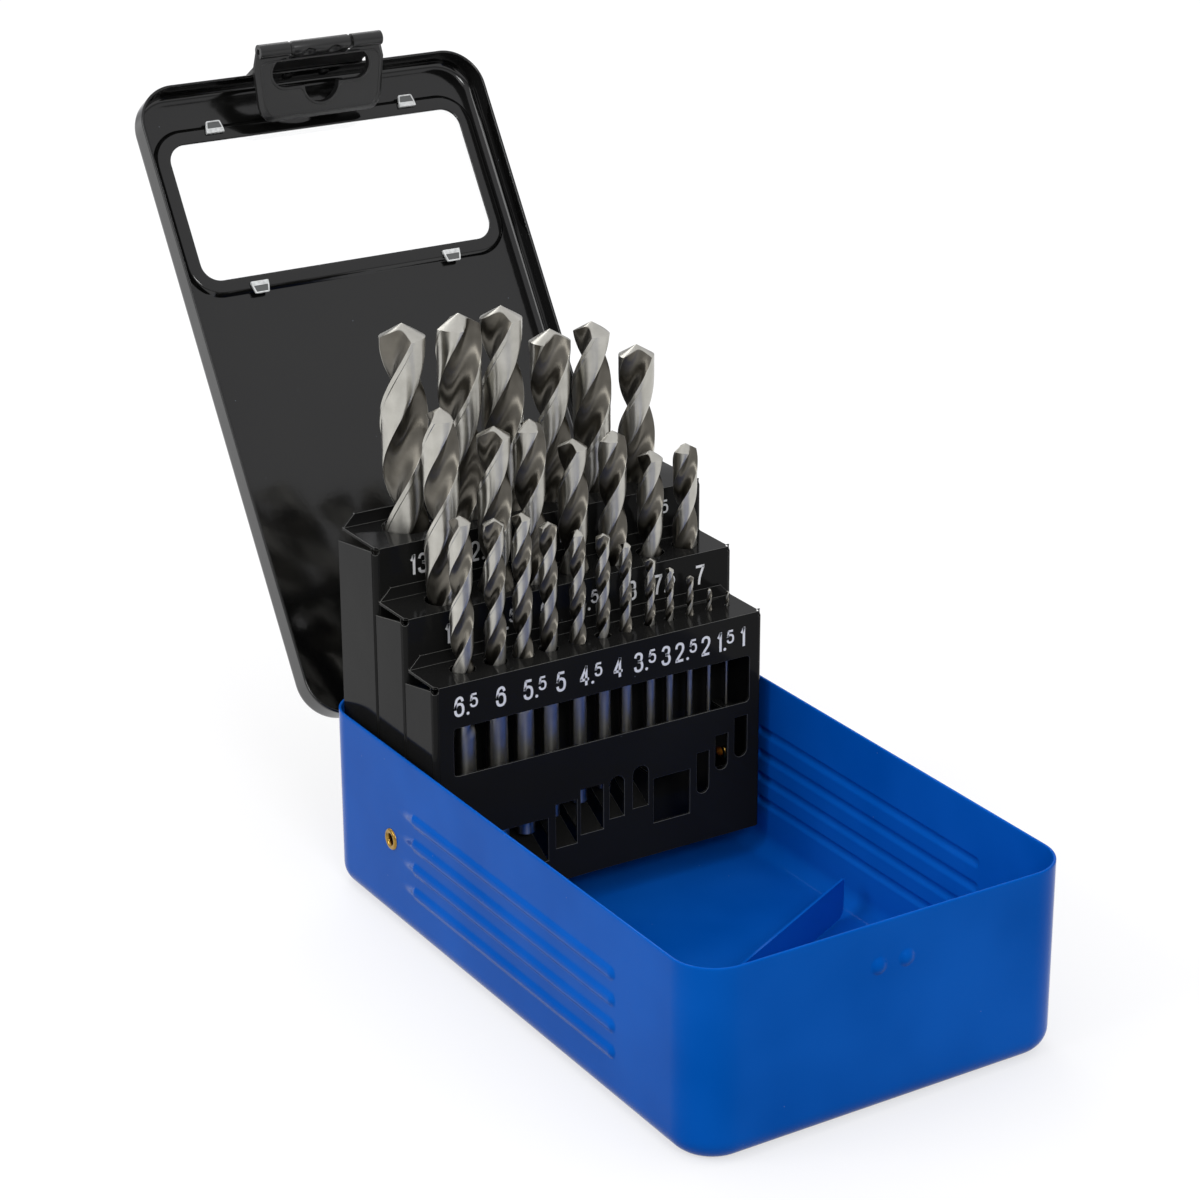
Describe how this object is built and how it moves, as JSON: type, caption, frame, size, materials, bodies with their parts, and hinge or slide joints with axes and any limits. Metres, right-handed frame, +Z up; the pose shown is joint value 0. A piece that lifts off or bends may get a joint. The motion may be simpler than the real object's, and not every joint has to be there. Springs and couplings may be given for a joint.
{
  "type": "drill bit case",
  "caption": "Open metal case with a hinged, windowed lid, a stepped tilting rack of graded twist drills, a diagonal tip stop, a snap tongue and a swinging hanging bracket.",
  "frame": {"origin": "centre of the flat underside of the base", "axes": "+Z up, -Y out of the clasp wall, +Y out of the hinge wall, +X to the right as seen from the clasp wall; lid open, rack upright, drills seated"},
  "size_m": [0.1138, 0.3045, 0.2132],
  "materials": {
    "blue_enamel": "gloss stoved enamel on sheet steel",
    "black_enamel": "gloss stoved enamel on sheet steel",
    "black_plastic": "satin moulded",
    "clear_plastic": "clear, moulded",
    "brass": "polished, rolled",
    "plated_steel": "zinc plated",
    "drill_steel": "bright ground"
  },
  "bodies": {
    "base": {"base_shell": "blue_enamel", "tip_stop": "blue_enamel", "hinge_leaf_base": "blue_enamel", "hinge_pin": "plated_steel", "eyelet_left": "brass", "eyelet_right": "brass", "spacer_left": "plated_steel", "spacer_right": "plated_steel"},
    "lid": {"lid_shell": "black_enamel", "hinge_leaf_lid": "black_enamel", "window_pane": "clear_plastic", "closure_tongue": "black_plastic", "tongue_rivet_left": "plated_steel", "tongue_rivet_right": "plated_steel", "hanger_pin": "plated_steel"},
    "hanger": {"hanger": "black_plastic"},
    "rack": {"front_bank": "black_enamel", "middle_bank": "black_enamel", "back_bank": "black_enamel", "rest_plate": "black_enamel"},
    "drill_13_0_bit": {"drill_13_0": "drill_steel"},
    "drill_12_5_bit": {"drill_12_5": "drill_steel"},
    "drill_12_0_bit": {"drill_12_0": "drill_steel"},
    "drill_11_5_bit": {"drill_11_5": "drill_steel"},
    "drill_11_0_bit": {"drill_11_0": "drill_steel"},
    "drill_10_5_bit": {"drill_10_5": "drill_steel"},
    "drill_10_0_bit": {"drill_10_0": "drill_steel"},
    "drill_9_5_bit": {"drill_9_5": "drill_steel"},
    "drill_9_0_bit": {"drill_9_0": "drill_steel"},
    "drill_8_5_bit": {"drill_8_5": "drill_steel"},
    "drill_8_0_bit": {"drill_8_0": "drill_steel"},
    "drill_7_5_bit": {"drill_7_5": "drill_steel"},
    "drill_7_0_bit": {"drill_7_0": "drill_steel"},
    "drill_6_5_bit": {"drill_6_5": "drill_steel"},
    "drill_6_0_bit": {"drill_6_0": "drill_steel"},
    "drill_5_5_bit": {"drill_5_5": "drill_steel"},
    "drill_5_0_bit": {"drill_5_0": "drill_steel"},
    "drill_4_5_bit": {"drill_4_5": "drill_steel"},
    "drill_4_0_bit": {"drill_4_0": "drill_steel"},
    "drill_3_5_bit": {"drill_3_5": "drill_steel"},
    "drill_3_0_bit": {"drill_3_0": "drill_steel"},
    "drill_2_5_bit": {"drill_2_5": "drill_steel"},
    "drill_2_0_bit": {"drill_2_0": "drill_steel"},
    "drill_1_5_bit": {"drill_1_5": "drill_steel"},
    "drill_1_0_bit": {"drill_1_0": "drill_steel"}
  },
  "joints": [
    {"name": "lid_hinge", "type": "hinge", "parent": "base", "child": "lid", "pos_m": [0, 0.0945, 0.0476], "axis": [-1, 0, 0], "range_deg": [-123, 0]},
    {"name": "rack_tilt", "type": "hinge", "parent": "base", "child": "rack", "pos_m": [0, 0.0564, 0.026], "axis": [-1, 0, 0], "range_deg": [-90, 0]},
    {"name": "hanger_swing", "type": "hinge", "parent": "lid", "child": "hanger", "pos_m": [0, 0.19413, 0.21112], "axis": [-1, 0, 0], "range_deg": [0, 131]},
    {"name": "lift_drill_13_0", "type": "slide", "parent": "rack", "child": "drill_13_0_bit", "axis": [0, 0, 1], "range_m": [0, 0.096]},
    {"name": "lift_drill_12_5", "type": "slide", "parent": "rack", "child": "drill_12_5_bit", "axis": [0, 0, 1], "range_m": [0, 0.096]},
    {"name": "lift_drill_12_0", "type": "slide", "parent": "rack", "child": "drill_12_0_bit", "axis": [0, 0, 1], "range_m": [0, 0.096]},
    {"name": "lift_drill_11_5", "type": "slide", "parent": "rack", "child": "drill_11_5_bit", "axis": [0, 0, 1], "range_m": [0, 0.096]},
    {"name": "lift_drill_11_0", "type": "slide", "parent": "rack", "child": "drill_11_0_bit", "axis": [0, 0, 1], "range_m": [0, 0.096]},
    {"name": "lift_drill_10_5", "type": "slide", "parent": "rack", "child": "drill_10_5_bit", "axis": [0, 0, 1], "range_m": [0, 0.096]},
    {"name": "lift_drill_10_0", "type": "slide", "parent": "rack", "child": "drill_10_0_bit", "axis": [0, 0, 1], "range_m": [0, 0.0811]},
    {"name": "lift_drill_9_5", "type": "slide", "parent": "rack", "child": "drill_9_5_bit", "axis": [0, 0, 1], "range_m": [0, 0.0811]},
    {"name": "lift_drill_9_0", "type": "slide", "parent": "rack", "child": "drill_9_0_bit", "axis": [0, 0, 1], "range_m": [0, 0.0811]},
    {"name": "lift_drill_8_5", "type": "slide", "parent": "rack", "child": "drill_8_5_bit", "axis": [0, 0, 1], "range_m": [0, 0.0811]},
    {"name": "lift_drill_8_0", "type": "slide", "parent": "rack", "child": "drill_8_0_bit", "axis": [0, 0, 1], "range_m": [0, 0.0811]},
    {"name": "lift_drill_7_5", "type": "slide", "parent": "rack", "child": "drill_7_5_bit", "axis": [0, 0, 1], "range_m": [0, 0.0811]},
    {"name": "lift_drill_7_0", "type": "slide", "parent": "rack", "child": "drill_7_0_bit", "axis": [0, 0, 1], "range_m": [0, 0.0811]},
    {"name": "lift_drill_6_5", "type": "slide", "parent": "rack", "child": "drill_6_5_bit", "axis": [0, 0, 1], "range_m": [0, 0.0597]},
    {"name": "lift_drill_6_0", "type": "slide", "parent": "rack", "child": "drill_6_0_bit", "axis": [0, 0, 1], "range_m": [0, 0.0544]},
    {"name": "lift_drill_5_5", "type": "slide", "parent": "rack", "child": "drill_5_5_bit", "axis": [0, 0, 1], "range_m": [0, 0.0545]},
    {"name": "lift_drill_5_0", "type": "slide", "parent": "rack", "child": "drill_5_0_bit", "axis": [0, 0, 1], "range_m": [0, 0.0517]},
    {"name": "lift_drill_4_5", "type": "slide", "parent": "rack", "child": "drill_4_5_bit", "axis": [0, 0, 1], "range_m": [0, 0.0497]},
    {"name": "lift_drill_4_0", "type": "slide", "parent": "rack", "child": "drill_4_0_bit", "axis": [0, 0, 1], "range_m": [0, 0.0474]},
    {"name": "lift_drill_3_5", "type": "slide", "parent": "rack", "child": "drill_3_5_bit", "axis": [0, 0, 1], "range_m": [0, 0.0464]},
    {"name": "lift_drill_3_0", "type": "slide", "parent": "rack", "child": "drill_3_0_bit", "axis": [0, 0, 1], "range_m": [0, 0.0437]},
    {"name": "lift_drill_2_5", "type": "slide", "parent": "rack", "child": "drill_2_5_bit", "axis": [0, 0, 1], "range_m": [0, 0.0437]},
    {"name": "lift_drill_2_0", "type": "slide", "parent": "rack", "child": "drill_2_0_bit", "axis": [0, 0, 1], "range_m": [0, 0.0395]},
    {"name": "lift_drill_1_5", "type": "slide", "parent": "rack", "child": "drill_1_5_bit", "axis": [0, 0, 1], "range_m": [0, 0.0357]},
    {"name": "lift_drill_1_0", "type": "slide", "parent": "rack", "child": "drill_1_0_bit", "axis": [0, 0, 1], "range_m": [0, 0.0317]}
  ],
  "couplings": [
    {"joint": "rack_tilt", "follows": "lid_hinge", "ratio": 0.7317},
    {"joint": "hanger_swing", "follows": "lid_hinge", "ratio": -1.065}
  ]
}
